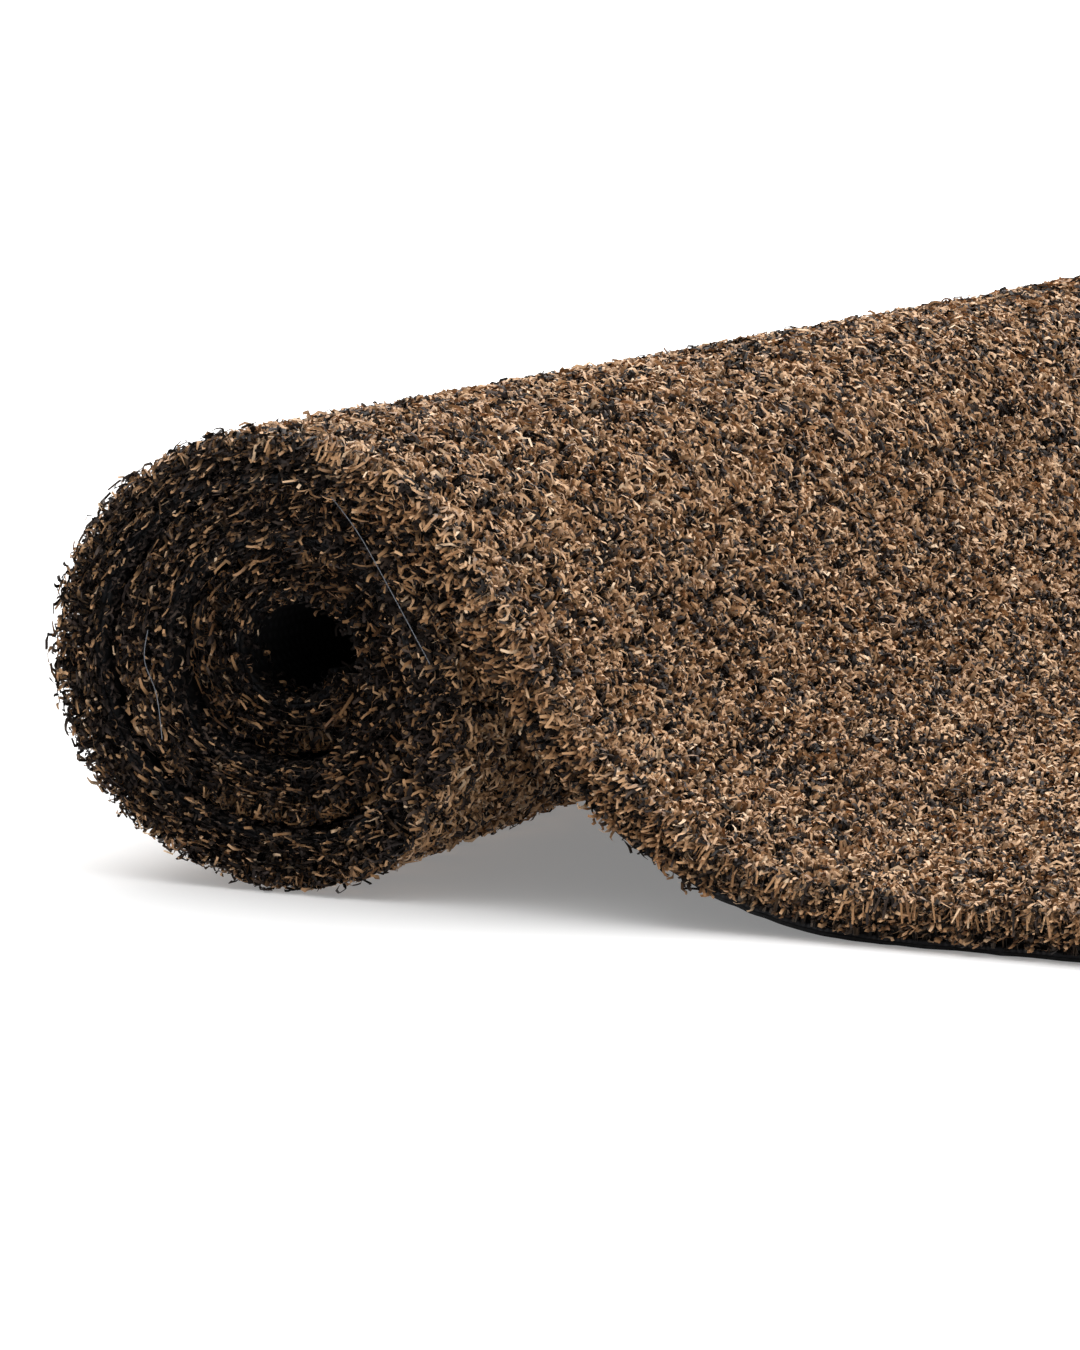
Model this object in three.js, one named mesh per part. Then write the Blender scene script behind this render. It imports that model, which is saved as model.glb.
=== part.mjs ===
// Practice putting mat of curled artificial turf, partly rolled up.
//
// Units are millimetres and +Z is up. The mat runs out along +X, the roll's axis lies along Y, and the
// origin is on the floor at the middle of the whole mat's footprint.
//
// The mat is three bonded layers: a latex coating underneath, the woven cloth that the yarn is tufted
// through, and the curled pile. It is wound pile outwards, from an inner end beside the roll's centre. The
// sheet leaves over the top of the roll, slopes down to the floor and lies flat to its free end. Each layer is
// cut into pieces: fixed ones in the roll, and strips in the tail that hinge about lines on the underside.

import * as THREE from "three";

// The sheet
const matLength = 1524;
const matWidth = 914;
const latexThickness = 1.2;
const clothThickness = 0.8;
const pileHeight = 12;

// The roll
const windings = 2.7; // turns from the inner end to the top of the roll
const coreRadius = 7; // from the roll's centre to the underside of the inner end
const windingGap = 1.9; // air between the pile of one turn and the underside of the next
const ovality = 0.045; // share by which the roll is wider and lower than round
const sag = 0.14; // share by which its foot bulges where it rests
const sagAngle = -54; // degrees from the level to the middle of that bulge, towards the tail
const sagSharpness = 4; // how closely the bulge keeps to its middle
const coreSlide = 22; // how far the inner end has slid along the axis, past the outer turn
const slideGrowth = 2; // the power by which that slide grows towards the inner end

// The tail
const shoulderTurn = 62; // degrees that the tail follows the roll down from its top
const landingRadius = 122; // underside of the bend that lays the tail on the floor
const tailFlex = 45; // degrees that the shoulder straightens as the tail is lifted
const endFlex = 15; // degrees that each hinge of the flat part lifts

// Clearances
const layerGap = 0.3;
const cutGap = 0.3;
const spareFlex = 1; // degrees left between two strips when they are flexed as far as they go

// How finely it is cut
const rollPilePieces = 11;
const rollBackingPieces = 3;
const shoulderHinges = 1;
const landingHinges = 1;
const flatHinges = 4;
const turnStep = 7.5; // degrees between stations round the roll
const bendSteps = 12; // stations from one hinge to the next where the tail curves

const fullTurn = 360;
const smallTurn = 0.5;
const radians = THREE.MathUtils.degToRad;
const latex = { low: 0, high: latexThickness };
const cloth = { low: latex.high + layerGap, high: latex.high + layerGap + clothThickness };
const pile = { low: cloth.high + layerGap, high: cloth.high + layerGap + pileHeight };
const windingPitch = pile.high + windingGap;
const topRadius = coreRadius + windings * windingPitch;

// A point on the roll's underside, a number of degrees back from the top of its outermost turn
function rollPoint(turn) {
  const angle = radians(90 + turn);
  const foot = Math.max(0, Math.cos(angle - radians(sagAngle))) ** sagSharpness;
  const shape = 1 + ovality * Math.cos(2 * angle) + sag * foot;
  const radius = (topRadius - (windingPitch * turn) / fullTurn) * shape;
  return new THREE.Vector2(radius * Math.cos(angle), radius * Math.sin(angle));
}

// A station is a point on the mat's underside, with the slope in radians at which the mat runs on from it
// and how far it has slid along the roll's axis.
function rollStation(turn, height = 0) {
  const point = rollPoint(turn);
  const onward = rollPoint(turn - smallTurn).sub(rollPoint(turn + smallTurn));
  const slide = coreSlide * Math.max(0, turn / (windings * fullTurn)) ** slideGrowth;
  return { x: point.x, z: height + point.y, slope: Math.atan2(onward.y, onward.x), slide };
}

// The point above a station, on the pile side, and moved on along the mat.
function above(station, offset, onward = 0) {
  const [c, s] = [Math.cos(station.slope), Math.sin(station.slope)];
  return [station.x - offset * s + onward * c, station.z + offset * c + onward * s];
}

const upTo = (count) => Array.from({ length: count }, (_, i) => i);

function steps(count, from, to) {
  return upTo(count + 1).map((i) => from + ((to - from) * i) / count);
}

function length(stations) {
  return stations.slice(1).reduce((sum, b, i) => sum + Math.hypot(b.x - stations[i].x, b.z - stations[i].z), 0);
}

// The roll's centre is as high as its lowest pile tip is below it.
const oneTurn = steps(fullTurn, 0, fullTurn);
const centreHeight = -Math.min(...oneTurn.map((turn) => above(rollStation(turn), pile.high)[1]));

// Sections of the underside, from the inner end to the free end
const wound = windings * fullTurn;
const woundSteps = rollPilePieces * Math.ceil(wound / turnStep / rollPilePieces);
const firstHinge = -shoulderTurn / shoulderHinges / 2;
const rollPath = steps(woundSteps, wound, firstHinge).map((turn) => rollStation(turn, centreHeight));

const shoulderSteps = bendSteps * shoulderHinges - bendSteps / 2;
const shoulder = steps(shoulderSteps, firstHinge, -shoulderTurn).map((turn) => rollStation(turn, centreHeight));

const leaving = shoulder[shoulder.length - 1];
const slopeDown = -leaving.slope;
const landingDrop = landingRadius * (1 - Math.cos(slopeDown));
const straightRun = (leaving.z - landingDrop) / Math.sin(slopeDown);
const landingEnd = leaving.x + straightRun * Math.cos(slopeDown) + landingRadius * Math.sin(slopeDown);
const landing = steps(bendSteps * landingHinges, slopeDown, 0).map((slope) => ({
  x: landingEnd - landingRadius * Math.sin(slope),
  z: landingRadius * (1 - Math.cos(slope)),
  slope: -slope,
  slide: 0,
}));

const flatLength = matLength - length([...rollPath, ...shoulder.slice(1), ...landing]);
const flat = steps(flatHinges + 1, 0, flatLength).map((run) => ({ x: landingEnd + run, z: 0, slope: 0, slide: 0 }));

// The tail's stations in one list, and the places in it where a strip ends and the next begins
const tailPath = [...shoulder, ...landing, ...flat.slice(1)];
const landingStart = shoulder.length;
const flatStart = landingStart + landing.length;
const shoulderCuts = upTo(shoulderHinges).map((i) => i * bendSteps);
const landingCuts = upTo(landingHinges).map((i) => landingStart + bendSteps / 2 + i * bendSteps);
const flatCuts = upTo(flatHinges).map((i) => flatStart + i);

// Lifting the tail closes the pile at the shoulder, and lifting the free end closes it on the flat part.
const hinges = [
  ...shoulderCuts.map((at) => ({ at, flex: tailFlex / shoulderHinges + spareFlex })),
  ...landingCuts.map((at) => ({ at, flex: 0 })),
  ...flatCuts.map((at) => ({ at, flex: endFlex + spareFlex })),
];
const cutEdge = { flex: 0, gap: 0 };

// How far a strip's end stands back from the hinge line, at a height above the underside
function standBack(end, offset) {
  return (end.gap ?? cutGap) / 2 + offset * Math.tan(radians(end.flex) / 2);
}

// The two end stations of a strip, and those between that its cut-back ends don't reach.
function clearStations(stations, start, end) {
  const last = stations.length - 1;
  const clearOf = (a, b, cut) => Math.hypot(a.x - b.x, a.z - b.z) > standBack(cut, pile.high);
  const isClear = (station) => clearOf(station, stations[0], start) && clearOf(station, stations[last], end);
  return stations.filter((station, i) => i === 0 || i === last || isClear(station));
}

// A strip of one layer as a closed solid: four corners at each station, joined round the sides and capped.
function stripSolid(path, layer, start, end) {
  const stations = clearStations(path, start, end);
  const last = stations.length - 1;
  const corners = stations.flatMap((station, i) => {
    const back = (offset) => {
      if (i === 0) return standBack(start, offset);
      return i === last ? -standBack(end, offset) : 0;
    };
    const [lowX, lowZ] = above(station, layer.low, back(layer.low));
    const [highX, highZ] = above(station, layer.high, back(layer.high));
    const near = station.slide - matWidth / 2;
    const far = station.slide + matWidth / 2;
    return [lowX, near, lowZ, lowX, far, lowZ, highX, far, highZ, highX, near, highZ];
  });
  const faces = [0, 2, 1, 0, 3, 2];
  for (let ring = 0; ring < last * 4; ring += 4) {
    for (let side = 0; side < 4; side++) {
      const [a, b] = [ring + side, ring + ((side + 1) % 4)];
      faces.push(a, b, b + 4, a, b + 4, a + 4);
    }
  }
  const cap = last * 4;
  faces.push(cap, cap + 1, cap + 2, cap, cap + 2, cap + 3);
  const geometry = new THREE.BufferGeometry();
  geometry.setAttribute("position", new THREE.Float32BufferAttribute(corners, 3));
  geometry.setIndex(faces);
  geometry.computeVertexNormals();
  return geometry;
}

const materials = {
  pile: new THREE.MeshStandardMaterial({ color: 0x6b5139, roughness: 0.75, metalness: 0 }),
  cloth: new THREE.MeshStandardMaterial({ color: 0x17171a, roughness: 0.8, metalness: 0 }),
  latex: new THREE.MeshStandardMaterial({ color: 0x0e0e10, roughness: 0.6, metalness: 0 }),
};

const mat = new THREE.Group();

function addStrip(name, stations, layer, material, start, end) {
  const mesh = new THREE.Mesh(stripSolid(stations, layer, start, end), material);
  mesh.name = name;
  mat.add(mesh);
}

// The roll, cut into equal shares of its stations, from the inner end outwards
function addRollLayer(name, layer, material, pieces) {
  const cuts = steps(pieces, 0, woundSteps).map(Math.round);
  for (let i = 0; i < pieces; i++) {
    const stations = rollPath.slice(cuts[i], cuts[i + 1] + 1);
    const start = i === 0 ? cutEdge : { flex: 0 };
    const end = i === pieces - 1 ? hinges[0] : { flex: 0 };
    addStrip(`${name}_${i + 1}`, stations, layer, material, start, end);
  }
}

// The tail, a strip from each hinge to the next
function addTailLayer(name, layer, material) {
  hinges.forEach((hinge, i) => {
    const next = hinges[i + 1] ?? { ...cutEdge, at: tailPath.length - 1 };
    addStrip(`${name}_${i + 1}`, tailPath.slice(hinge.at, next.at + 1), layer, material, hinge, next);
  });
}

addRollLayer("roll_latex", latex, materials.latex, rollBackingPieces);
addRollLayer("roll_cloth", cloth, materials.cloth, rollBackingPieces);
addRollLayer("roll_pile", pile, materials.pile, rollPilePieces);
addTailLayer("tail_latex", latex, materials.latex);
addTailLayer("tail_cloth", cloth, materials.cloth);
addTailLayer("tail_pile", pile, materials.pile);

// The footprint's middle, from the roll's outermost pile tip to the free end
const outermost = Math.min(...oneTurn.map((turn) => above(rollStation(turn), pile.high)[0]));
const freeEnd = tailPath[tailPath.length - 1].x;
mat.position.set(-(outermost + freeEnd) / 2, -coreSlide / 2, 0);

export default mat;
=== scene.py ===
# Looks of the practice putting mat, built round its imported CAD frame.
#
# Every piece is laid out on the flat mat, in metres: s runs along it from the inner end of the roll to the
# free end, v across it, and h up from the coated underside. place() then puts that onto the rolled mat.

import math

import bpy
import numpy as np
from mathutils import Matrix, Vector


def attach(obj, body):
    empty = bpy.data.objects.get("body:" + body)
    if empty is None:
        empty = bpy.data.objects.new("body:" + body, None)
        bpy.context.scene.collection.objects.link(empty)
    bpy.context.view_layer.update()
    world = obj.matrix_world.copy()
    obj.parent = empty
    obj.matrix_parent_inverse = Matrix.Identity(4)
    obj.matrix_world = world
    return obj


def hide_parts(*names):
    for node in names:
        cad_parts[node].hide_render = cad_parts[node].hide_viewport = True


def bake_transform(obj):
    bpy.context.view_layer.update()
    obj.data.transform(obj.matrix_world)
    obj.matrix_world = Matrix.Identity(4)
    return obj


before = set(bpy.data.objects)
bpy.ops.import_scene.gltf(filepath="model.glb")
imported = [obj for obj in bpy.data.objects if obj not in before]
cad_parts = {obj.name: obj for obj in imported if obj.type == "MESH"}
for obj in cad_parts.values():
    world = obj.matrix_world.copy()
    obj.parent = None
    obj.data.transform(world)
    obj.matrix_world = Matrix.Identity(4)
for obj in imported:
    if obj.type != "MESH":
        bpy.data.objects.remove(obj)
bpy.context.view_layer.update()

# The sheet and its roll, as the CAD has them
MAT_LENGTH = 1.524
MAT_WIDTH = 0.914
LATEX_TOP = 0.0013
CLOTH_TOP = 0.0024
PILE_TOP = 0.0146
WINDINGS = 2.7
CORE_RADIUS = 0.007
WINDING_PITCH = 0.0165
OVALITY = 0.045
SAG = 0.14
SAG_ANGLE = -54
SAG_SHARPNESS = 4
CORE_SLIDE = 0.022
SLIDE_GROWTH = 2
SHOULDER_TURN = 62
LANDING_RADIUS = 0.122
FLAT_STRIPS = 5
TOP_RADIUS = CORE_RADIUS + WINDINGS * WINDING_PITCH
EDGE = MAT_WIDTH / 2
ABOVE_FLOOR = 0.0002

# How finely the underside is sampled
CIRCLE_SAMPLES = 1441
ROLL_SAMPLES = 2069
BEND_SAMPLES = 61
SMALL_TURN = 0.5

# The camera
VIEW_AZIMUTH = 25.0
VIEW_DOWN = 8.38
LENS = 129.0
SENSOR = 36.0
FRAME_PIXELS = (1080, 1350)
CAMERA_PLACE = (0.1429, -1.5735, 0.2422)


# --- The rolled sheet -------------------------------------------------------------------------------------
def roll_point(turn):
    """A point on the roll's underside, a number of degrees back from the top of its outermost turn."""
    angle = np.radians(90 + turn)
    foot = np.maximum(0, np.cos(angle - math.radians(SAG_ANGLE))) ** SAG_SHARPNESS
    shape = 1 + OVALITY * np.cos(2 * angle) + SAG * foot
    radius = (TOP_RADIUS - WINDING_PITCH * turn / 360) * shape
    return radius * np.cos(angle), radius * np.sin(angle)


def roll_slope(turn):
    """The slope in radians at which the mat runs on from there."""
    before, after = roll_point(turn + SMALL_TURN), roll_point(turn - SMALL_TURN)
    return np.arctan2(after[1] - before[1], after[0] - before[0])


def outermost_tips():
    """The lowest x and z that pile tips reach on the roll's outermost turn."""
    turn = np.linspace(0, 360, CIRCLE_SAMPLES)
    x, z = roll_point(turn)
    slope = roll_slope(turn)
    return (x - PILE_TOP * np.sin(slope)).min(), (z + PILE_TOP * np.cos(slope)).min()


def make_path():
    """The underside as sampled arrays of x, z, slope and slide, with the runs at which its parts begin."""
    leftmost, lowest = outermost_tips()
    centre_height = -lowest
    turn = np.linspace(WINDINGS * 360, -SHOULDER_TURN, ROLL_SAMPLES)
    x, z = roll_point(turn)
    z = z + centre_height
    slope = np.unwrap(roll_slope(turn))
    slope -= 2 * math.pi * round(slope[-1] / (2 * math.pi))
    slide = CORE_SLIDE * np.maximum(0, turn / (WINDINGS * 360)) ** SLIDE_GROWTH
    down = -slope[-1]
    straight = (z[-1] - LANDING_RADIUS * (1 - math.cos(down))) / math.sin(down)
    landing_end = x[-1] + straight * math.cos(down) + LANDING_RADIUS * math.sin(down)
    bend = np.linspace(down, 0, BEND_SAMPLES)
    x = np.concatenate([x, landing_end - LANDING_RADIUS * np.sin(bend)])
    z = np.concatenate([z, LANDING_RADIUS * (1 - np.cos(bend))])
    slope = np.concatenate([slope, -bend])
    slide = np.concatenate([slide, np.zeros(BEND_SAMPLES)])
    run = np.concatenate([[0], np.cumsum(np.hypot(np.diff(x), np.diff(z)))])
    flat = MAT_LENGTH - run[-1]
    marks = {
        "top": float(np.interp(0, -turn, run[: len(turn)])),
        "leave": float(run[len(turn) - 1]),
        "landing": float(run[len(turn)]),
        "flat": float(run[-1]),
    }
    x = np.append(x, landing_end + flat)
    z = np.append(z, 0)
    slope = np.append(slope, 0)
    slide = np.append(slide, 0)
    run = np.append(run, MAT_LENGTH)
    marks["strip"] = flat / FLAT_STRIPS
    middle = -(leftmost + x[-1]) / 2
    marks["centre"] = (middle, centre_height)
    return run, x + middle, z, slope, slide - CORE_SLIDE / 2, marks


RUN, PATH_X, PATH_Z, PATH_SLOPE, PATH_SLIDE, MARKS = make_path()


def place(s, v, h):
    """Points of the flat mat where they are on the rolled one."""
    slope = np.interp(s, RUN, PATH_SLOPE)
    onward = np.maximum(0, s - MAT_LENGTH) + np.minimum(0, s)
    x = np.interp(s, RUN, PATH_X) - h * np.sin(slope) + onward * np.cos(slope)
    z = np.interp(s, RUN, PATH_Z) + h * np.cos(slope) + onward * np.sin(slope)
    y = np.interp(s, RUN, PATH_SLIDE) + v
    return np.stack([x, y, np.maximum(z, ABOVE_FLOOR)], -1)


def up_at(s):
    """The directions in which the pile stands."""
    slope = np.interp(s, RUN, PATH_SLOPE)
    return np.stack([-np.sin(slope), np.zeros_like(slope), np.cos(slope)], -1)


# The mat's parts between the middles of its strips
LANDING_HINGE = (MARKS["landing"] + MARKS["flat"]) / 2
SHOULDER_END = (MARKS["leave"] + MARKS["landing"]) / 2
LANDING_HALF = LANDING_HINGE - SHOULDER_END
CUTS = [0, MARKS["top"], SHOULDER_END, LANDING_HINGE + LANDING_HALF]
CUTS += [MARKS["flat"] + MARKS["strip"] * (k + 1.5) for k in range(3)]
CUTS += [MAT_LENGTH]
NAMES = ["roll", "shoulder", "landing", "flat_1", "flat_2", "flat_3", "flat_4"]
ROLL, SHOULDER, LANDING = 0, 1, 2


def move_with(obj, part):
    """obj follows the roll's body, or, for the other parts, has its placement baked into its mesh."""
    if part == ROLL:
        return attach(obj, "root")
    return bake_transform(obj)


# --- Meshes from arrays -----------------------------------------------------------------------------------
def new_mesh(name, points, quads, material):
    mesh = bpy.data.meshes.new(name)
    mesh.vertices.add(len(points))
    mesh.vertices.foreach_set("co", points.astype(np.float32).ravel())
    mesh.loops.add(quads.size)
    mesh.loops.foreach_set("vertex_index", quads.astype(np.int32).ravel())
    mesh.polygons.add(len(quads))
    mesh.polygons.foreach_set("loop_start", np.arange(0, quads.size, 4, dtype=np.int32))
    mesh.polygons.foreach_set("use_smooth", np.full(len(quads), True))
    mesh.update(calc_edges=True)
    mesh.materials.append(material)
    obj = bpy.data.objects.new(name, mesh)
    bpy.context.scene.collection.objects.link(obj)
    return obj


def set_attribute(obj, name, values):
    attribute = obj.data.attributes.new(name, "FLOAT", "POINT")
    attribute.data.foreach_set("value", values.astype(np.float32).ravel())


def set_uv(obj, name, uv):
    layer = obj.data.uv_layers.new(name=name)
    layer.data.foreach_set("uv", uv.astype(np.float32).ravel())


def mat_noise(s, v, cell, seed):
    """Smooth noise over the flat mat, from -1 to 1."""
    size = (int(MAT_LENGTH / cell) + 6, int(MAT_WIDTH / cell) + 6)
    grid = np.random.default_rng(seed).uniform(-1, 1, size)
    a = np.clip(s / cell + 2, 0, size[0] - 2)
    b = np.clip((v + EDGE) / cell + 2, 0, size[1] - 2)
    i, j = a.astype(int), b.astype(int)
    a, b = a - i, b - j
    a, b = a * a * (3 - 2 * a), b * b * (3 - 2 * b)
    low = grid[i, j] * (1 - a) + grid[i + 1, j] * a
    high = grid[i, j + 1] * (1 - a) + grid[i + 1, j + 1] * a
    return low * (1 - b) + high * b


# --- Materials --------------------------------------------------------------------------------------------
def new_material(name, roughness, sheen=0.0, specular=0.5):
    material = bpy.data.materials.new(name)
    material.use_nodes = True
    shader = material.node_tree.nodes["Principled BSDF"]
    shader.inputs["Roughness"].default_value = roughness
    shader.inputs["Sheen Weight"].default_value = sheen
    shader.inputs["Specular IOR Level"].default_value = specular
    return material, material.node_tree, shader


def add_ramp(tree, stops, source):
    ramp = tree.nodes.new("ShaderNodeValToRGB")
    while len(ramp.color_ramp.elements) < len(stops):
        ramp.color_ramp.elements.new(0.5)
    for element, (position, colour) in zip(ramp.color_ramp.elements, stops):
        element.position = position
        element.color = (*colour, 1)
    tree.links.new(source, ramp.inputs["Fac"])
    return ramp.outputs["Color"]


def attribute_value(tree, name):
    node = tree.nodes.new("ShaderNodeAttribute")
    node.attribute_name = name
    return node.outputs["Fac"]


def map_range(tree, source, span, to_span):
    """source, where it runs over span, taken to to_span."""
    fade = tree.nodes.new("ShaderNodeMapRange")
    fade.inputs["From Min"].default_value, fade.inputs["From Max"].default_value = span
    fade.inputs["To Min"].default_value, fade.inputs["To Max"].default_value = to_span
    tree.links.new(source, fade.inputs["Value"])
    return fade.outputs["Result"]


def multiply(tree, a, b):
    mix = tree.nodes.new("ShaderNodeMix")
    mix.data_type = "RGBA"
    mix.blend_type = "MULTIPLY"
    mix.inputs["Factor"].default_value = 1
    tree.links.new(a, mix.inputs["A"])
    tree.links.new(b, mix.inputs["B"])
    return mix.outputs["Result"]


def yarn_material(name, tones, painted_root_shade, roughness, sheen, specular):
    """Curled yarn: a tone for each strand, with painted shade that darkens it towards its root, where the
    pile shades itself.
    """
    material, tree, shader = new_material(name, roughness, sheen, specular)
    tone = add_ramp(tree, tones, attribute_value(tree, "tone"))
    shade = add_ramp(tree, painted_root_shade, attribute_value(tree, "reach"))
    tree.links.new(multiply(tree, tone, shade), shader.inputs["Base Color"])
    return material


def grey(value):
    return (value, value, value)


TAN_TONES = [
    (0.0, (0.19, 0.090, 0.038)),
    (0.3, (0.40, 0.212, 0.095)),
    (0.6, (0.60, 0.347, 0.172)),
    (0.85, (0.74, 0.456, 0.247)),
    (1.0, (0.88, 0.65, 0.43)),
]
DARK_TONES = [
    (0.0, (0.007, 0.005, 0.004)),
    (0.45, (0.019, 0.014, 0.0118)),
    (0.75, (0.052, 0.039, 0.035)),
    (1.0, (0.12, 0.085, 0.065)),
]
# Painted shade: strands run from near black at the root to their full tone three quarters of the way up.
PAINTED_ROOT_SHADE = [(0.0, grey(0.07)), (0.4, grey(0.32)), (0.75, grey(1.0)), (1.0, grey(1.0))]
tan_yarn = yarn_material("tan_yarn", TAN_TONES, PAINTED_ROOT_SHADE, 0.45, 0.1, 0.4)
charcoal_yarn = yarn_material("charcoal_yarn", DARK_TONES, PAINTED_ROOT_SHADE, 0.5, 0.03, 0.1)


def weave_material(name, dark, light, thread, roughness):
    """Woven or coated backing, with crossed bands a thread apart, on the flat mat's own coordinates."""
    material, tree, shader = new_material(name, roughness, specular=0.2)
    flat = tree.nodes.new("ShaderNodeUVMap")
    flat.uv_map = "Flat"
    bands = []
    for direction in ("X", "Y"):
        wave = tree.nodes.new("ShaderNodeTexWave")
        wave.bands_direction = direction
        wave.inputs["Scale"].default_value = math.pi / 10 / thread
        wave.inputs["Distortion"].default_value = 0.8
        wave.inputs["Detail"].default_value = 1
        tree.links.new(flat.outputs["UV"], wave.inputs["Vector"])
        bands.append(wave.outputs["Color"])
    crossed = multiply(tree, *bands)
    tree.links.new(add_ramp(tree, [(0, dark), (1, light)], crossed), shader.inputs["Base Color"])
    bump = tree.nodes.new("ShaderNodeBump")
    bump.inputs["Strength"].default_value = 0.5
    bump.inputs["Distance"].default_value = 0.0003
    tree.links.new(crossed, bump.inputs["Height"])
    tree.links.new(bump.outputs["Normal"], shader.inputs["Normal"])
    return material


latex_coating = weave_material("latex_coating", (0.005, 0.005, 0.0055), (0.013, 0.013, 0.014), 0.0032, 0.7)
woven_cloth = weave_material("woven_cloth", (0.006, 0.006, 0.007), (0.026, 0.025, 0.027), 0.0016, 0.8)


# --- The camera -------------------------------------------------------------------------------------------
def view_axes():
    """The camera's forward, right and up directions."""
    azimuth, down = math.radians(VIEW_AZIMUTH), math.radians(VIEW_DOWN)
    level = math.cos(down)
    forward = np.array([-math.sin(azimuth) * level, math.cos(azimuth) * level, -math.sin(down)])
    right = np.array([math.cos(azimuth), math.sin(azimuth), 0])
    return forward, right, np.cross(right, forward)


def make_camera():
    forward, right, up = view_axes()
    data = bpy.data.cameras.new("camera")
    data.lens = LENS
    data.sensor_width = SENSOR
    data.clip_start = 0.05
    camera = bpy.data.objects.new("camera", data)
    bpy.context.scene.collection.objects.link(camera)
    camera.location = CAMERA_PLACE
    rows = np.stack([right, up, -forward], 1)
    camera.rotation_euler = Matrix(rows.tolist()).to_euler()
    bpy.context.scene.camera = camera


make_camera()


def outside_view(points):
    """How far points are outside the camera's picture, as a share of its half width."""
    forward, right, up = view_axes()
    away = points - np.array(CAMERA_PLACE)
    depth = away @ forward
    scale = LENS / SENSOR * 2
    across = np.abs(away @ right) / depth * scale * FRAME_PIXELS[1] / FRAME_PIXELS[0]
    upward = np.abs(away @ up) / depth * scale
    return np.maximum(np.maximum(across, upward) - 1, 0)


# --- Backing ----------------------------------------------------------------------------------------------
RIM = 0.01
RIM_STEP = 0.002
SHEET_ACROSS = 0.02
ROLL_STEP = 0.002
FLAT_STEP = 0.004
LATEX_INSET = 0.0018
LATEX_FRAY = 0.0010
CLOTH_INSET = 0.0012
CLOTH_FRAY = 0.0012
FRAY_SEEDS = (5, 6)


def slab(name, s, v, low, high, material, rough_edge=0.0, inset=0.0, bumps=None):
    """A closed sheet over the flat mat's grid s by v, from height low to high, with ragged long edges."""
    grid_s, grid_v = np.meshgrid(s, v * (1 - inset / EDGE), indexing="ij")
    edge = np.clip((np.abs(grid_v) - EDGE + RIM) / RIM, 0, 1)
    small = mat_noise(grid_s, grid_v, 0.004, FRAY_SEEDS[0])
    large = mat_noise(grid_s, grid_v, 0.011, FRAY_SEEDS[1])
    out = rough_edge * edge * (small + large)
    across = grid_v + np.sign(grid_v) * out
    top = high if bumps is None else high + bumps(grid_s, grid_v)
    lower = place(grid_s, across, np.full_like(grid_s, low)).reshape(-1, 3)
    upper = place(grid_s, across, top * np.ones_like(grid_s)).reshape(-1, 3)
    rows, columns = grid_s.shape
    index = np.arange(rows * columns).reshape(rows, columns)
    a, b, c, d = index[:-1, :-1], index[1:, :-1], index[1:, 1:], index[:-1, 1:]
    count = rows * columns
    above = np.stack([a, b, c, d], -1).reshape(-1, 4) + count
    below = np.stack([a, d, c, b], -1).reshape(-1, 4)
    rim = np.concatenate([index[:, 0], index[-1, 1:], index[-2::-1, -1], index[0, -2:0:-1]])
    after = np.roll(rim, -1)
    sides = np.stack([rim, after, after + count, rim + count], -1)
    quads = np.concatenate([above, below, sides])
    obj = new_mesh(name, np.concatenate([lower, upper]), quads, material)
    flat = np.tile(np.stack([grid_s, across], -1).reshape(-1, 2), (2, 1))
    set_uv(obj, "Flat", flat[quads.ravel()])
    return obj


def stations(start, end, step):
    """Places along the mat, no further than a step apart."""
    return np.linspace(start, end, max(2, math.ceil((end - start) / step) + 1))


def across_stations(step, edge_step):
    """Places across the mat, closer together in the rims along its long edges."""
    inner = np.linspace(-EDGE + RIM, EDGE - RIM, math.ceil(MAT_WIDTH / step))
    rim = np.arange(1, math.ceil(RIM / edge_step) + 1) * edge_step
    rim = rim * RIM / rim[-1]
    return np.concatenate([-EDGE + RIM - rim[::-1], inner, EDGE - RIM + rim])


# --- Pile -------------------------------------------------------------------------------------------------
DENSE = 1.05e6  # strands to the square metre where the camera looks closely
SPARSE = 130e3  # and far from its view
VIEW_MARGIN = 0.4  # how far outside the picture, in half widths, the pile keeps some extra density
CLOSE_UP = 1.3  # metres from the camera within which the pile isn't thinned
UNDER_TAIL = 0.2  # how far in under the tail the roll's pile stays dense
END_BAND = 0.02  # how far in from the roll's ends its inner turns have strands
TUFT_GAUGE = 0.0030
FRINGE_SHARE = 12000  # strands to the metre of cut edge
FUZZ_BAND = 0.014
FUZZ_DENSITY = 270e3
OUTER_RADIUS = 0.054
OUTER_TURN = MARKS["top"] - 2 * math.pi * OUTER_RADIUS

# The ranges of a strand's shape: metres, and turns of its curl
LEAN = (0.0007, 0.0035)
CURL = (0.0006, 0.0014)
DROOP = (0, 0.34)
TURNS = (0.35, 1.3)
YARN_WIDTH = (0.0007, 0.00115)
DARK_SHARE = 0.35
ROOT_DEPTH = 0.0004
EDGE_TURN_OUT = 0.005
# how far in from the roll's cut ends more strands are charcoal, as painted shade on its end faces
END_SHADE_DEPTH = 0.004
FINE_SHARE = 0.4

PATCH_SEED, LARGE_PATCH_SEED, TONE_SEED = 11, 12, 13
TUFT_DARK_SEED, TUFT_HEADING_SEED, TUFT_S_SEED, TUFT_V_SEED, TUFT_PHASE_SEED = 31, 32, 33, 34, 35
FIRST_PART_SEED = 100


def spread_roots(part, rng):
    """Strand roots over a part of the mat, thinned away from the camera, and their share of full density."""
    start, end = CUTS[part], CUTS[part + 1]
    count = int((end - start) * MAT_WIDTH * DENSE)
    s = rng.uniform(start, end, count)
    v = rng.uniform(-EDGE, EDGE, count)
    share = density_share(s, v)
    keep = rng.uniform(size=count) < SPARSE / DENSE + (1 - SPARSE / DENSE) * share
    keep &= (s >= OUTER_TURN) | (depth_from_edge(v) < END_BAND)
    return s[keep], v[keep], share[keep]


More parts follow.
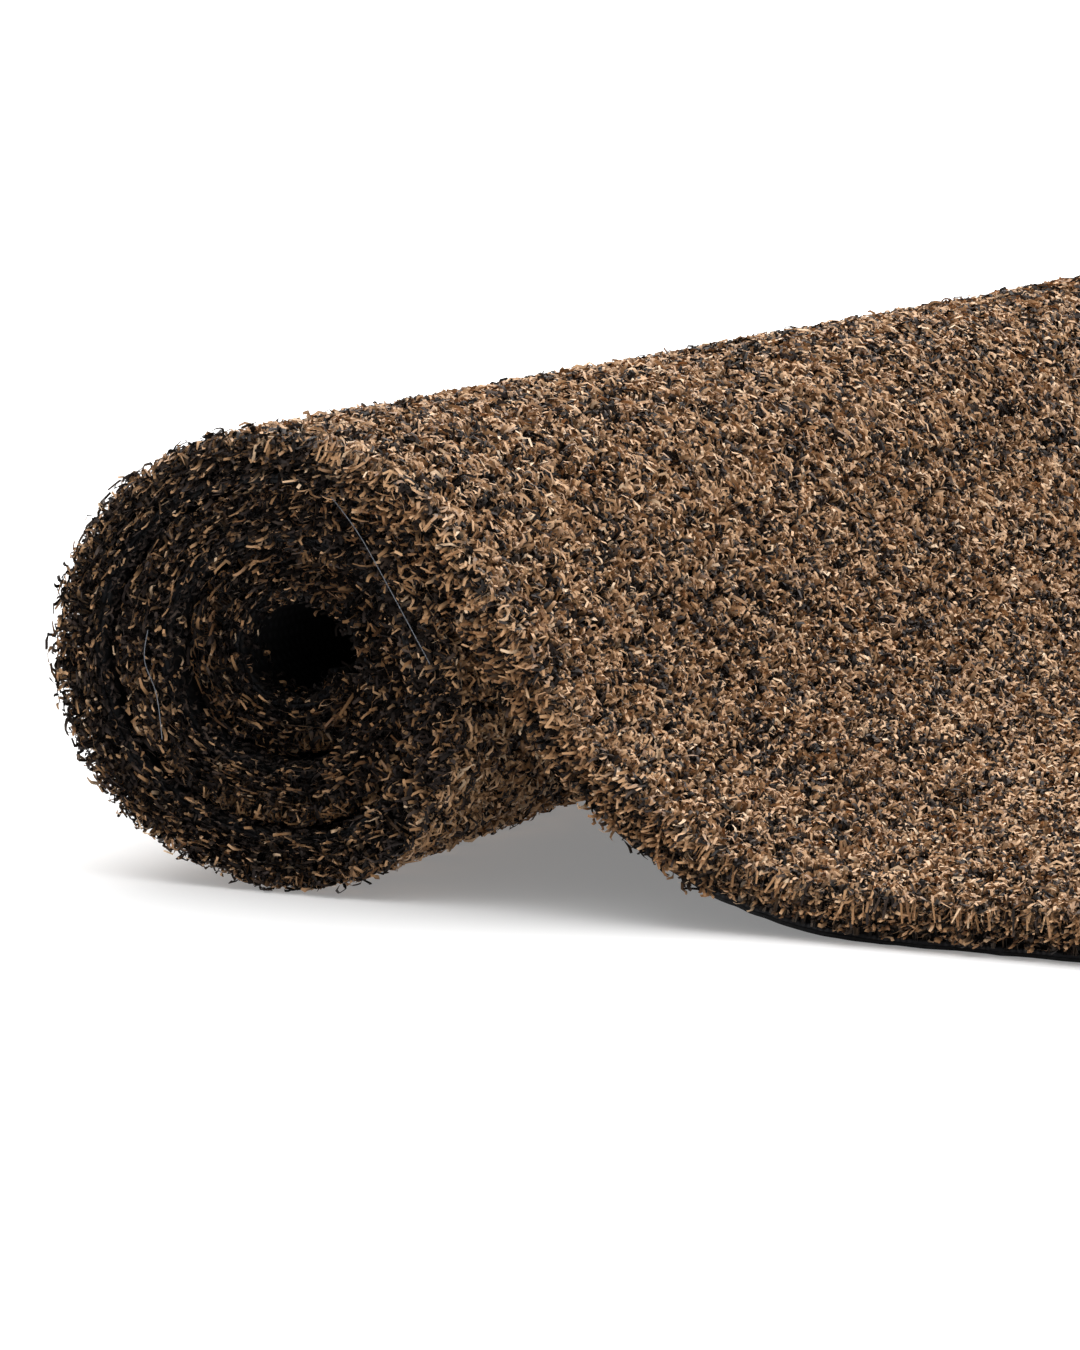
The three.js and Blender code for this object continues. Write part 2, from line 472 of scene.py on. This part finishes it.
def density_share(s, v):
    """From 1, where the camera looks closely at the pile, down to 0 far from its view."""
    root = place(s, v, np.full(len(s), 0.010))
    share = np.clip(1 - outside_view(root) / VIEW_MARGIN, 0, 1)
    share = share * share * (3 - 2 * share)
    towards = np.array(CAMERA_PLACE) - root
    distance = np.linalg.norm(towards, axis=1)
    share *= np.clip((CLOSE_UP / distance) ** 2, 0, 1)
    up = up_at(s)
    facing = np.clip((up * towards).sum(1) / distance * 4 + 0.8, 0, 1)
    under_tail = (s < MARKS["top"]) & (up[:, 0] > 0.1)
    facing = np.where(under_tail, facing * np.clip((UNDER_TAIL - EDGE - v) / 0.05, 0, 1), facing)
    near_end = np.clip((-EDGE + END_BAND - v) / 0.006 + 1, 0, 1)
    return share * np.maximum(facing, near_end)


def depth_from_edge(v):
    return EDGE - np.abs(v)


def tuft_value(s, v, seed):
    """A random number from 0 to 1 that all the strands of one tuft share."""
    size = (int(MAT_LENGTH / TUFT_GAUGE) + 2, int(MAT_WIDTH / TUFT_GAUGE) + 2)
    grid = np.random.default_rng(seed).uniform(0, 1, size)
    return grid[(s / TUFT_GAUGE).astype(int), ((v + EDGE) / TUFT_GAUGE).astype(int)]


def to_tuft(place_on, random_part, pull):
    """Draws strand roots together towards the middle of their tuft."""
    middle = (np.floor(place_on / TUFT_GAUGE) + 0.25 + 0.5 * random_part) * TUFT_GAUGE
    return place_on + (middle - place_on) * pull


def grow_field(part, rng):
    """The strands that stand on a part of the mat, drawn together in tufts of one colour."""
    s, v, share = spread_roots(part, rng)
    n = len(s)
    start, end = CUTS[part], CUTS[part + 1]
    patches = 0.22 * mat_noise(s, v, 0.005, PATCH_SEED) + 0.12 * mat_noise(s, v, 0.014, LARGE_PATCH_SEED)
    tuft_dark = tuft_value(s, v, TUFT_DARK_SEED) < DARK_SHARE + patches
    is_dark = np.where(rng.uniform(size=n) < 0.72, tuft_dark, rng.uniform(size=n) < DARK_SHARE)
    tuft_heading = tuft_value(s, v, TUFT_HEADING_SEED) * 2 * math.pi
    heading = tuft_heading + rng.normal(0, 0.45, n)
    pull = 0.55 * share
    root_s = np.clip(to_tuft(s, tuft_value(s, v, TUFT_S_SEED), pull), start + 0.0003, end)
    root_v = to_tuft(v + EDGE, tuft_value(s, v, TUFT_V_SEED), pull) - EDGE
    root_v = np.clip(root_v, -EDGE, EDGE)
    wide = 1 + 1.1 * (1 - share) ** 1.5
    to_edge = np.clip(1 - depth_from_edge(root_v) / EDGE_TURN_OUT, 0, 1)
    turn_out = rng.uniform(size=n) < 0.8 * to_edge
    heading = np.where(turn_out, np.sign(root_v) * math.pi / 2 + rng.normal(0, 0.8, n), heading)
    outer = root_s > OUTER_TURN
    height = (PILE_TOP - CLOTH_TOP) * np.clip(rng.normal(0.93, 0.065, n), 0.6, 1.09)
    height = np.where(outer, height, height * 1.12)
    # Painted shade: near the roll's cut ends more strands are charcoal, so that its end faces read dark.
    painted_end_shade = np.clip(1 - depth_from_edge(root_v) / END_SHADE_DEPTH, 0, 1) * (root_s < MARKS["top"])
    is_dark |= rng.uniform(size=n) < 0.45 * painted_end_shade
    return {
        "s": root_s,
        "v": root_v,
        "root": np.full(n, CLOTH_TOP - ROOT_DEPTH),
        "lowest": np.full(n, CLOTH_TOP - ROOT_DEPTH),
        "heading": heading,
        "dark": is_dark,
        "height": height,
        "lean": rng.uniform(*LEAN, n) * (0.4 + 0.6 * wide),
        "curl": rng.uniform(*CURL, n) * (0.5 + 0.5 * wide),
        "droop": rng.uniform(*DROOP, n) + 0.35 * to_edge * (root_s > MARKS["top"]),
        "wide": wide,
        "fine": share > FINE_SHARE,
        "phase": tuft_value(s, v, TUFT_PHASE_SEED) * 2 * math.pi + rng.normal(0, 0.7, n),
    }


def grow_fringe(part, rng):
    """Strands that hang out over the mat's cut edges and hide its backing."""
    start, end = CUTS[part], CUTS[part + 1]
    count = int((end - start) * FRINGE_SHARE * 2)
    s = rng.uniform(start, end, count)
    side = rng.choice([-1.0, 1.0], count)
    v = side * (EDGE - rng.uniform(0, 0.0012, count))
    heading = side * math.pi / 2 + rng.normal(0, 0.7, count)
    if part == len(NAMES) - 1:
        ends = int(MAT_WIDTH * FRINGE_SHARE)
        s = np.append(s, MAT_LENGTH - rng.uniform(0, 0.0012, ends))
        v = np.append(v, rng.uniform(-EDGE, EDGE, ends))
        heading = np.append(heading, rng.normal(0, 0.7, ends))
        count += ends
    share = density_share(s, v)
    keep = rng.uniform(size=count) < 0.15 + 0.85 * share
    s, v, heading, share = s[keep], v[keep], heading[keep], share[keep]
    n = len(s)
    rolled = s < MARKS["top"] + 0.02
    sloping = s < MARKS["landing"] + 0.07
    root = np.where(sloping, rng.uniform(0.0012, 0.0138, n), rng.uniform(0.0034, 0.0125, n))
    height = np.where(sloping, rng.uniform(-0.0034, 0.0026, n), rng.uniform(-0.0015, 0.0028, n))
    lean = np.where(sloping, rng.uniform(0.0014, 0.0044, n), rng.uniform(0.0006, 0.0028, n))
    wide = 1 + 0.8 * (1 - share)
    return {
        "s": s,
        "v": v,
        "root": root,
        "lowest": np.full(n, -0.0012),
        "heading": heading,
        # Painted shade: fringe on the roll's shaded ends is mostly charcoal (0.7), against 0.3 on the tail.
        "dark": rng.uniform(size=n) < np.where(rolled, 0.7, 0.3),
        "height": height,
        "lean": lean * (0.6 + 0.4 * wide),
        "curl": rng.uniform(0.0004, 0.0011, n),
        "droop": rng.uniform(0, 0.4, n),
        "wide": wide,
        "fine": share > FINE_SHARE,
        "phase": rng.uniform(0, 2 * math.pi, n),
    }


def grow_fuzz(part, rng):
    """Frayed yarn ends on the underside near the cut edges, in the gaps between the roll's turns."""
    start, end = CUTS[part], min(CUTS[part + 1], MARKS["landing"])
    n = max(0, int((end - start) * FUZZ_BAND * 2 * FUZZ_DENSITY))
    side = rng.choice([-1.0, 1.0], n)
    return {
        "s": rng.uniform(start, max(end, start), n),
        "v": side * (EDGE - 0.001 - rng.uniform(0, 1, n) ** 1.4 * FUZZ_BAND),
        "root": np.full(n, 0.0003),
        "lowest": np.full(n, -0.0035),
        "heading": side * math.pi / 2 + rng.normal(0, 0.8, n),
        "dark": rng.uniform(size=n) < 0.9,
        "height": rng.uniform(-0.0024, -0.0006, n),
        "lean": rng.uniform(0.0008, 0.0032, n),
        "curl": rng.uniform(0.0003, 0.0009, n),
        "droop": rng.uniform(0, 0.4, n),
        "wide": np.full(n, 0.9),
        "fine": side < 0,
        "phase": rng.uniform(0, 2 * math.pi, n),
    }


def grow(part, seed):
    """Every strand of a part's pile: roots, shape numbers and colour."""
    rng = np.random.default_rng(seed)
    kinds = [grow_field(part, rng), grow_fringe(part, rng), grow_fuzz(part, rng)]
    yarn = {key: np.concatenate([kind[key] for kind in kinds]) for key in kinds[0]}
    n = len(yarn["s"])
    tone = rng.normal(0.55, 0.21, n) + 0.1 * mat_noise(yarn["s"], yarn["v"], 0.02, TONE_SEED)
    # Painted shade: strands on the roll's inner turns, recessed in its ends, get darker tones.
    tone -= 0.3 * np.clip(1 - yarn["s"] / OUTER_TURN, 0, 1)
    yarn["tone"] = np.where(rng.uniform(size=n) < 0.05, rng.uniform(0.85, 1, n), np.clip(tone, 0, 1))
    yarn["turns"] = rng.uniform(*TURNS, n) * rng.choice([-1, 1], n)
    yarn["width"] = rng.uniform(*YARN_WIDTH, n) * yarn["wide"]
    yarn["facing"] = rng.normal(0, 0.55, (n, 3))
    return yarn


# Strands of one tone share a column of the bake's picture, and go up it from root to tip.
TONE_CELLS = 16
CELL = (1 / 48, 1 / 20)
MOST_FACES = 190_000
FINE_POINTS = 6
COARSE_POINTS = 4


def ribbons(name, yarn, chosen, points, material):
    """The chosen strands as one mesh of curled flat ribbons."""
    y = {key: value[chosen][:, None] if value.ndim == 1 else value[chosen] for key, value in yarn.items()}
    t = np.linspace(0, 1, points)[None, :]
    turning = 2 * math.pi * y["turns"] * t + y["phase"]
    grip = np.minimum(1, t * 2.2)
    forth = y["lean"] * t**1.5 * 1.2 + y["curl"] * grip * np.sin(turning)
    aside = y["curl"] * grip * np.cos(turning)
    drop = y["droop"] * np.maximum(0, (t - 0.66) / 0.34) ** 1.5
    rise = np.sin(np.minimum(1, t / 0.78) * math.pi / 2) - drop
    h = y["root"] + y["height"] * rise + 0.3 * y["curl"] * grip * np.sin(turning * 1.3)
    c, sn = np.cos(y["heading"]), np.sin(y["heading"])
    ds, dv = forth * c - aside * sn, forth * sn + aside * c
    beyond = np.maximum(0, np.abs(y["v"] + dv) - EDGE)
    h = np.maximum(h - 0.3 * beyond, y["lowest"])
    s = y["s"] + ds
    centre = place(s, y["v"] + dv, h)
    along = np.gradient(centre, axis=1)
    along /= np.linalg.norm(along, axis=2, keepdims=True) + 1e-9
    face = up_at(s) + y["facing"][:, None, :]
    side = np.cross(along, face)
    side /= np.linalg.norm(side, axis=2, keepdims=True) + 1e-9
    taper = np.where(t < 0.12, 0.7, 1) * (1 - 0.3 * t**3)
    half = side * (y["width"] * taper / 2)[:, :, None]
    corners = np.stack([centre - half, centre + half], 2)
    corners[..., 2] = np.maximum(corners[..., 2], ABOVE_FLOOR)
    n = len(corners)
    base = (np.arange(n) * points * 2)[:, None] + (np.arange(points - 1) * 2)[None, :]
    quads = np.stack([base, base + 1, base + 3, base + 2], -1).reshape(-1, 4)
    obj = new_mesh(name, corners.reshape(-1, 3), quads, material)
    cell = np.minimum((y["tone"][:, 0] * TONE_CELLS).astype(int), TONE_CELLS - 1)
    tone = np.repeat((cell + 0.5) / TONE_CELLS, points * 2)
    reach = np.tile(np.repeat(t[0], 2), n)
    set_attribute(obj, "tone", tone)
    set_attribute(obj, "reach", reach)
    left = (cell + 1.2) * CELL[0]
    u = np.stack([left, left + CELL[0] * 0.6], -1)[:, None, :] + np.zeros((n, points, 2))
    w = CELL[1] * (1 + t[0])[None, :, None] + np.zeros((n, points, 2))
    uv = np.stack([u, w], -1).reshape(-1, 2)
    set_uv(obj, "OFBake", uv[quads.ravel()])
    return obj


def pile_pieces(part):
    """A part's pile as pieces of tan and of charcoal yarn, in slices across the mat."""
    yarn = grow(part, FIRST_PART_SEED + part)
    made = []
    for slot, dark, material in (("tan_yarn", False, tan_yarn), ("charcoal_yarn", True, charcoal_yarn)):
        for fine, points in ((True, FINE_POINTS), (False, COARSE_POINTS)):
            chosen = np.flatnonzero((yarn["dark"] == dark) & (yarn["fine"] == fine))
            chosen = chosen[np.argsort(yarn["v"][chosen], kind="stable")]
            pieces = math.ceil(len(chosen) * (points - 1) * 2 / MOST_FACES)
            for k, share in enumerate(np.array_split(chosen, pieces) if pieces else []):
                kind = "near" if fine else "far"
                name = f"{slot}_{NAMES[part]}_{kind}_{k + 1}"
                obj = ribbons(name, yarn, share, points, material)
                made.append(move_with(obj, part))
    return made


# --- The mat, part by part --------------------------------------------------------------------------------
# The bed of yarn roots between the strands is drawn in charcoal yarn and darkened by the painted root shade:
# partly the roots' own dark colour, partly painted shade deep in the pile.
THATCH_TOP = 0.0076
THATCH_INSET = 0.0012
THATCH_TONE = 0.3
THATCH_SHADE_REACH = 0.35
LUMP_SEEDS = (21, 22)


def thatch_bumps(s, v):
    """The lumps of the bed of yarn roots that shows between the strands."""
    return 0.0013 * mat_noise(s, v, 0.0045, LUMP_SEEDS[0]) + 0.0009 * mat_noise(s, v, 0.0028, LUMP_SEEDS[1])


def cad_nodes(part, layer):
    """The CAD nodes that one layer of a part stands for."""
    if part > ROLL:
        return [f"tail_{layer}_{part}"]
    pieces = 11 if layer == "pile" else 3
    return [f"roll_{layer}_{k + 1}" for k in range(pieces)]


sheet_v = across_stations(SHEET_ACROSS, RIM_STEP)
thatch_v = across_stations(0.006, 0.0025)
thatch_v = thatch_v[np.abs(thatch_v) < EDGE - THATCH_INSET]
for part, label in enumerate(NAMES):
    start, end = CUTS[part], CUTS[part + 1]
    step = ROLL_STEP if part <= LANDING else FLAT_STEP
    sheet_s = stations(start, end, step)
    thatch_s = stations(start, end, step * 2)
    latex = slab(
        f"latex_{label}", sheet_s, sheet_v, 0, LATEX_TOP, latex_coating,
        rough_edge=LATEX_FRAY, inset=LATEX_INSET,
    )
    cloth = slab(
        f"cloth_{label}", sheet_s, sheet_v, LATEX_TOP, CLOTH_TOP, woven_cloth,
        rough_edge=CLOTH_FRAY, inset=CLOTH_INSET,
    )
    thatch = slab(
        f"thatch_{label}", thatch_s, thatch_v, CLOTH_TOP, THATCH_TOP, charcoal_yarn,
        bumps=thatch_bumps,
    )
    # A dark charcoal tone, and painted root shade from the reach value.
    set_attribute(thatch, "tone", np.full(len(thatch.data.vertices), THATCH_TONE))
    set_attribute(thatch, "reach", np.full(len(thatch.data.vertices), THATCH_SHADE_REACH))
    for obj, slot in ((latex, "latex_coating"), (cloth, "woven_cloth"), (thatch, "charcoal_yarn")):
        move_with(obj, part)
    piles = pile_pieces(part)
    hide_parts(*cad_nodes(part, "latex"))
    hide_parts(*cad_nodes(part, "cloth"))
    for obj in [thatch, *piles]:
        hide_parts(*cad_nodes(part, "pile"))


# --- Loose threads ----------------------------------------------------------------------------------------
def make_thread(name, way, thickness):
    """A stray filament on the roll's near end.

    way is its points in millimetres from the roll's centre: across, up and outward.
    """
    middle, height = MARKS["centre"]
    near = -EDGE - CORE_SLIDE / 2
    ends = np.array([[middle + a / 1000, near - c / 1000, height + b / 1000] for a, b, c in way])
    along = np.linspace(0, len(way) - 1, 12 * (len(way) - 1) + 1)
    k = np.clip(along.astype(int), 0, len(way) - 2)
    t = (along - k)[:, None]
    before, after = ends[np.maximum(k - 1, 0)], ends[np.minimum(k + 2, len(way) - 1)]
    a, b = ends[k], ends[k + 1]
    bend = (2 * a + (b - before) * t + (2 * before - 5 * a + 4 * b - after) * t**2) / 2
    line = bend + (3 * a - before - 3 * b + after) * t**3 / 2
    tangent = np.gradient(line, axis=0)
    tangent /= np.linalg.norm(tangent, axis=1)[:, None]
    side = np.cross(tangent, [0.0, 1.0, 0.0])
    side /= np.linalg.norm(side, axis=1)[:, None]
    up = np.cross(side, tangent)
    angle = np.arange(6) * math.pi / 3
    ring = side[:, None] * np.cos(angle)[None, :, None] + up[:, None] * np.sin(angle)[None, :, None]
    points = (line[:, None] + ring * thickness / 2).reshape(-1, 3)
    rows = len(line)
    first = (np.arange(rows - 1) * 6)[:, None] + np.arange(6)[None, :]
    after_first = (np.arange(rows - 1) * 6)[:, None] + (np.arange(6) + 1)[None, :] % 6
    quads = np.stack([first, after_first, after_first + 6, first + 6], -1).reshape(-1, 4)
    caps = []
    for start in (0, (rows - 1) * 6):
        caps += [[start, start + 1, start + 2, start + 3], [start, start + 3, start + 4, start + 5]]
    caps[:2] = [face[::-1] for face in caps[:2]]
    thread = new_mesh(name, points, np.concatenate([quads, caps]), loose_thread)
    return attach(thread, "root")


def thread_material():
    """A translucent grey filament, with lighter patches painted on as faint glints."""
    material, tree, shader = new_material("loose_thread", 0.3, specular=0.6)
    noise = tree.nodes.new("ShaderNodeTexNoise")
    noise.inputs["Scale"].default_value = 90
    # Painted highlight: the lighter end of the ramp stands for glints along the thread.
    colour = add_ramp(tree, [(0.35, (0.03, 0.034, 0.042)), (0.65, (0.26, 0.28, 0.32))], noise.outputs["Fac"])
    tree.links.new(colour, shader.inputs["Base Color"])
    return material


loose_thread = thread_material()
make_thread("thread_left", [(-33, 9, 3), (-33.5, 1, 4), (-30, -8, 4), (-29, -20, 3)], 0.00026)
make_thread("thread_right", [(21, 47, 2), (30, 38, 4), (39, 24, 4), (50, 5, 3)], 0.00024)


# --- Floor and light --------------------------------------------------------------------------------------
FLOOR_REACH = 60


def make_floor():
    """A white floor that glows more with distance, so that it has no horizon."""
    mesh = bpy.data.meshes.new("floor")
    corners = [(-1, -1), (1, -1), (1, 1), (-1, 1)]
    mesh.from_pydata([(x * FLOOR_REACH, y * FLOOR_REACH, 0) for x, y in corners], [], [(0, 1, 2, 3)])
    floor = bpy.data.objects.new("floor", mesh)
    bpy.context.scene.collection.objects.link(floor)
    material, tree, shader = new_material("floor", 0.9, specular=0.1)
    shader.inputs["Base Color"].default_value = (0.82, 0.82, 0.82, 1)
    shader.inputs["Emission Color"].default_value = (1, 1, 1, 1)
    place_in = tree.nodes.new("ShaderNodeNewGeometry")
    away = tree.nodes.new("ShaderNodeVectorMath")
    away.operation = "LENGTH"
    tree.links.new(place_in.outputs["Position"], away.inputs[0])
    glow = map_range(tree, away.outputs["Value"], (0.6, 2.2), (0.22, 0.75))
    tree.links.new(glow, shader.inputs["Emission Strength"])
    mesh.materials.append(material)


def make_light(name, place_at, aim, size, power):
    data = bpy.data.lights.new(name, "AREA")
    data.size = size
    data.energy = power
    light = bpy.data.objects.new(name, data)
    bpy.context.scene.collection.objects.link(light)
    light.location = place_at
    direction = Vector(aim) - Vector(place_at)
    light.rotation_euler = direction.to_track_quat("-Z", "Y").to_euler()


def make_world():
    """White studio light, weaker from the front of the mat than from behind and above it."""
    world = bpy.data.worlds.new("studio")
    world.use_nodes = True
    tree = world.node_tree
    place_in = tree.nodes.new("ShaderNodeTexCoord")
    parts = tree.nodes.new("ShaderNodeSeparateXYZ")
    tree.links.new(place_in.outputs["Generated"], parts.inputs["Vector"])
    strength = map_range(tree, parts.outputs["Y"], (-0.7, 0.4), (0.26, 1.0))
    tree.links.new(strength, tree.nodes["Background"].inputs["Strength"])
    tree.nodes["Background"].inputs["Color"].default_value = (1, 1, 1, 1)
    bpy.context.scene.world = world


make_floor()
make_light("key", (-0.4, 0.4, 2.0), (-0.3, -0.1, 0.0), 4.2, 105)
make_world()
bpy.context.scene.view_settings.view_transform = "Standard"
